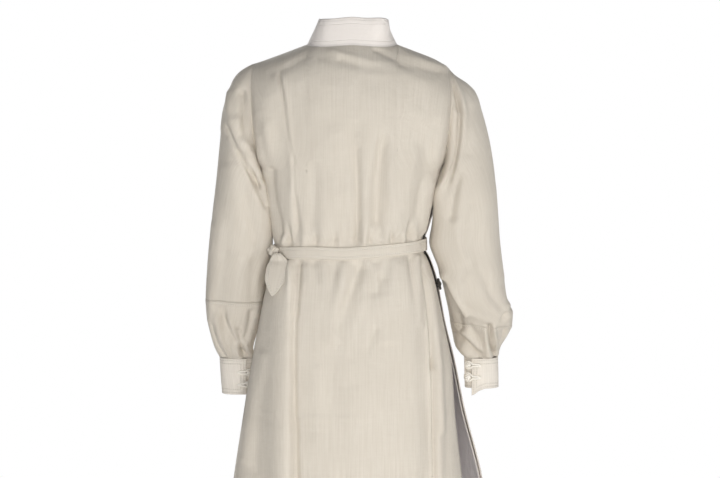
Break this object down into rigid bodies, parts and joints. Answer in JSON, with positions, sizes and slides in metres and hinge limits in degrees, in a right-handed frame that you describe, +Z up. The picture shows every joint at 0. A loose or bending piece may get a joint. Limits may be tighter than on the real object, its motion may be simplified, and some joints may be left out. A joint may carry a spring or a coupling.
{
  "type": "worn taoist robe",
  "caption": "Crossed-collar linen robe with a standing white collar, gathered sleeves with frog-fastened cuffs, and a knotted sash, hollow and open as it hangs when worn.",
  "frame": {"origin": "middle of the neck opening, level with the back neck seam, where neck and shoulders hold the robe up", "axes": "+Z up, the robe faces -Y, +X is the wearer's left"},
  "size_m": [0.6208, 0.3965, 1.3504],
  "materials": {
    "robe_linen": "matt plain-woven linen, undyed",
    "collar_linen": "matt plain-woven linen, white",
    "cuff_cord": "rolled cloth cord, off-white",
    "side_cord": "rolled cloth cord, dark"
  },
  "bodies": {
    "root": {"back_panel": "robe_linen", "front_overlap": "robe_linen", "front_underlap": "robe_linen", "collar_band": "collar_linen", "left_sleeve": "robe_linen", "left_sleeve_extension": "robe_linen", "left_cuff": "robe_linen", "left_cuff_frog_1_knot": "cuff_cord", "left_cuff_frog_1_loop": "cuff_cord", "left_cuff_frog_2_knot": "cuff_cord", "left_cuff_frog_2_loop": "cuff_cord", "right_sleeve": "robe_linen", "right_sleeve_extension": "robe_linen", "right_cuff": "robe_linen", "right_cuff_frog_1_knot": "cuff_cord", "right_cuff_frog_1_loop": "cuff_cord", "right_cuff_frog_2_knot": "cuff_cord", "right_cuff_frog_2_loop": "cuff_cord", "side_frog_knot": "side_cord", "side_frog_loop": "side_cord", "sash": "robe_linen", "sash_knot": "robe_linen", "sash_end": "robe_linen"}
  },
  "joints": []
}
